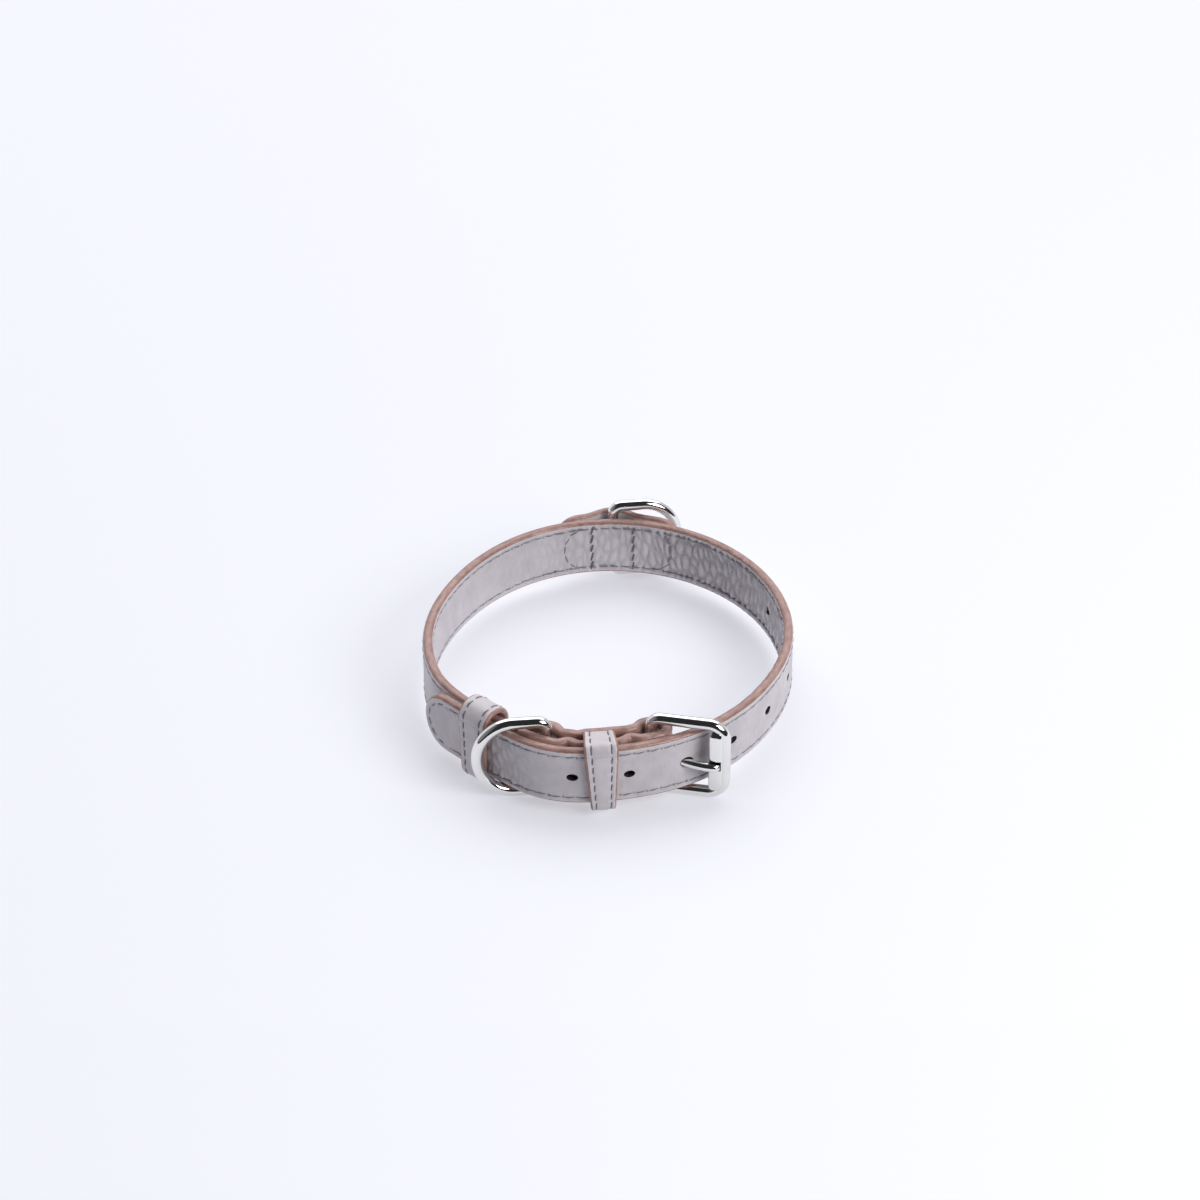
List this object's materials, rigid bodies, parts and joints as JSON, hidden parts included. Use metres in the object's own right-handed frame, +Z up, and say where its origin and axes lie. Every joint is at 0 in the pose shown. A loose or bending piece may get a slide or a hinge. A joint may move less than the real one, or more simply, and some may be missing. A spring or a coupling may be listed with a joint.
{
  "type": "dog collar",
  "caption": "Narrow leather strap collar closed by a prong buckle, with keeper loops for its tip and swinging D-rings for a leash or tag.",
  "frame": {"origin": "middle of the collar's outline seen from above, on the surface that it stands on", "axes": "+Z up, along the width of the strap; +Y from the buckle side to the back D-ring; +X from the side keeper to the buckle side's right"},
  "size_m": [0.0942, 0.1122, 0.0229],
  "materials": {
    "pebbled_leather": "lilac-grey pebbled leather with painted edges",
    "keeper_leather": "smooth lilac-grey leather with painted edges",
    "chrome_plated_zinc": "polished"
  },
  "bodies": {
    "collar": {"strap": "pebbled_leather", "ring_patch": "keeper_leather", "front_keeper": "keeper_leather", "side_keeper": "keeper_leather", "buckle_frame": "chrome_plated_zinc", "buckle_prong": "chrome_plated_zinc"},
    "front_ring": {"front_d_ring": "chrome_plated_zinc"},
    "back_ring": {"back_d_ring": "chrome_plated_zinc"}
  },
  "joints": [
    {"name": "front_ring_swing", "type": "hinge", "parent": "collar", "child": "front_ring", "pos_m": [-0.01512, -0.04531, 0.01144], "axis": [0, 0, 1], "range_deg": [0, 112]},
    {"name": "back_ring_swing", "type": "hinge", "parent": "collar", "child": "back_ring", "pos_m": [0.00136, 0.05233, 0.01144], "axis": [0, 0, 1], "range_deg": [0, 160]}
  ]
}
